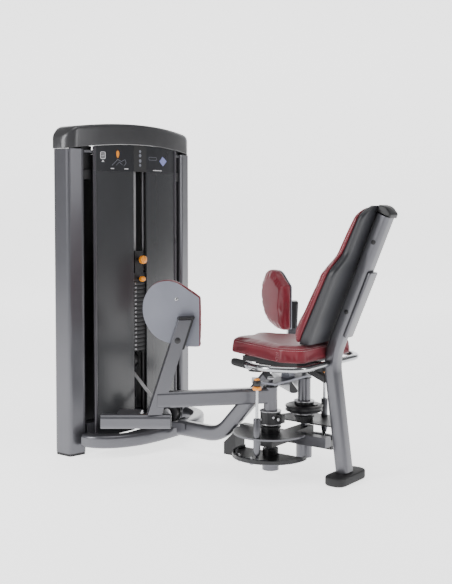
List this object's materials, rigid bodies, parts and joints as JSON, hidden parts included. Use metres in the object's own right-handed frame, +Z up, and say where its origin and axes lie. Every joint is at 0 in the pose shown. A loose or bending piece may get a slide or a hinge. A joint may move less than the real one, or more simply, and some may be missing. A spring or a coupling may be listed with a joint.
{
  "type": "hip abductor machine",
  "caption": "Seated hip abductor machine: weight tower with shrouds and pulleys, low frame, padded seat and reclined back, and swinging thigh levers with knee pads and footrests.",
  "frame": {"origin": "centre of the bounding box's base, on the floor", "axes": "+Z up, +X from the weight tower towards the seat's back, +Y to the right-hand lever of a seated user"},
  "size_m": [1.531, 1.3244, 1.55],
  "materials": {
    "frame_paint": "metallic grey powder coat",
    "shroud": "satin dark grey",
    "black_plastic": "satin black",
    "black_steel": "black powder coat",
    "grey_plate": "light grey paint",
    "rubber": "matt black",
    "belt": "matt black ribbed belt",
    "chrome": "polished",
    "iron": "black painted",
    "vinyl": "dark red upholstery vinyl",
    "shell": "grained dark grey",
    "orange": "orange"
  },
  "bodies": {
    "frame": {"tower_post_left": "frame_paint", "post_foot_left": "rubber", "tower_post_right": "frame_paint", "post_foot_right": "rubber", "top_cap": "black_plastic", "header_panel": "shroud", "front_shroud_left": "shroud", "front_shroud_right": "shroud", "rear_shroud": "black_plastic", "bottom_crossmember": "frame_paint", "base_bow": "frame_paint", "base_cover": "black_plastic", "guide_rod_left": "chrome", "rod_spacer_left": "black_plastic", "guide_rod_right": "chrome", "rod_spacer_right": "black_plastic", "weight_stack": "iron", "top_crossmember": "frame_paint", "base_pulley_bracket": "frame_paint", "spine_pulley_bracket": "frame_paint", "lift_belt": "belt", "drive_belt": "belt", "spine": "frame_paint", "spine_housing": "black_steel", "pivot_crossmember": "black_steel", "rear_strut": "frame_paint", "pivot_yoke": "grey_plate", "seat_frame": "black_steel", "rear_upright": "frame_paint", "upright_cap": "black_plastic", "rear_foot": "rubber", "handle_bar": "chrome", "grip_left": "rubber", "grip_right": "rubber", "seat_pad": "vinyl", "back_shell": "shell", "back_pad": "vinyl", "pivot_shaft_left": "frame_paint", "pivot_shaft_right": "frame_paint"},
    "cam_left": {"sector_left": "black_steel"},
    "cam_right": {"sector_right": "black_steel"},
    "lever_left": {"lever_arm_left": "frame_paint", "start_disc_left": "black_steel", "footrest_left": "frame_paint", "pad_plate_left": "grey_plate", "knee_pad_left": "vinyl"},
    "lever_right": {"lever_arm_right": "frame_paint", "start_disc_right": "black_steel", "footrest_right": "frame_paint", "pad_plate_right": "grey_plate", "knee_pad_right": "vinyl"},
    "start_pin_left": {"pull_pin_left": "orange"},
    "start_pin_right": {"pull_pin_right": "orange"},
    "carriage": {"head_plate": "iron", "selector_stem": "chrome"},
    "weight_pin": {"selector_pin": "orange"},
    "step_pin": {"increment_pin": "orange"},
    "top_wheel": {"top_pulley": "black_plastic"},
    "base_wheel": {"base_pulley": "black_plastic"},
    "spine_wheel": {"spine_pulley": "black_plastic"}
  },
  "joints": [
    {"name": "thigh_swing_left", "type": "hinge", "parent": "frame", "child": "cam_left", "pos_m": [0.25391, -0.1329, 0.1], "axis": [0, 0, 1], "range_deg": [0, 30]},
    {"name": "start_angle_left", "type": "hinge", "parent": "cam_left", "child": "lever_left", "pos_m": [0.25391, -0.1329, 0.3], "axis": [0, 0, 1], "range_deg": [-35, 10]},
    {"name": "start_pin_pull_left", "type": "slide", "parent": "lever_left", "child": "start_pin_left", "axis": [0, 0, 1], "range_m": [0, 0.02], "stiffness_N_per_m": 300},
    {"name": "thigh_swing_right", "type": "hinge", "parent": "frame", "child": "cam_right", "pos_m": [0.25391, 0.1329, 0.1], "axis": [0, 0, -1], "range_deg": [0, 30]},
    {"name": "start_angle_right", "type": "hinge", "parent": "cam_right", "child": "lever_right", "pos_m": [0.25391, 0.1329, 0.3], "axis": [0, 0, -1], "range_deg": [-35, 10]},
    {"name": "start_pin_pull_right", "type": "slide", "parent": "lever_right", "child": "start_pin_right", "axis": [0, 0, 1], "range_m": [0, 0.02], "stiffness_N_per_m": 300},
    {"name": "carriage_lift", "type": "slide", "parent": "frame", "child": "carriage", "axis": [0, 0, 1], "range_m": [0, 0.175], "deforming": ["lift_belt"]},
    {"name": "weight_pin_pull", "type": "slide", "parent": "carriage", "child": "weight_pin", "axis": [1, 0, 0], "range_m": [0, 0.075]},
    {"name": "step_pin_pull", "type": "slide", "parent": "carriage", "child": "step_pin", "axis": [1, 0, 0], "range_m": [0, 0.012], "stiffness_N_per_m": 200},
    {"name": "top_wheel_spin", "type": "hinge", "parent": "frame", "child": "top_wheel", "pos_m": [-0.69149, 0, 1.352], "axis": [0, -1, 0], "range_deg": [0, 270]},
    {"name": "base_wheel_spin", "type": "hinge", "parent": "frame", "child": "base_wheel", "pos_m": [-0.67749, 0, 0.398], "axis": [0, -1, 0], "range_deg": [0, 270]},
    {"name": "spine_wheel_spin", "type": "hinge", "parent": "frame", "child": "spine_wheel", "pos_m": [-0.40949, 0, 0.168], "axis": [0, -1, 0], "range_deg": [0, 270]}
  ],
  "couplings": [
    {"joint": "thigh_swing_right", "follows": "thigh_swing_left", "ratio": 1},
    {"joint": "carriage_lift", "follows": "thigh_swing_left", "m_per_rad": 0.33},
    {"joint": "top_wheel_spin", "follows": "thigh_swing_left", "ratio": 8.354},
    {"joint": "base_wheel_spin", "follows": "thigh_swing_left", "ratio": 8.661},
    {"joint": "spine_wheel_spin", "follows": "thigh_swing_left", "ratio": 8.44}
  ]
}
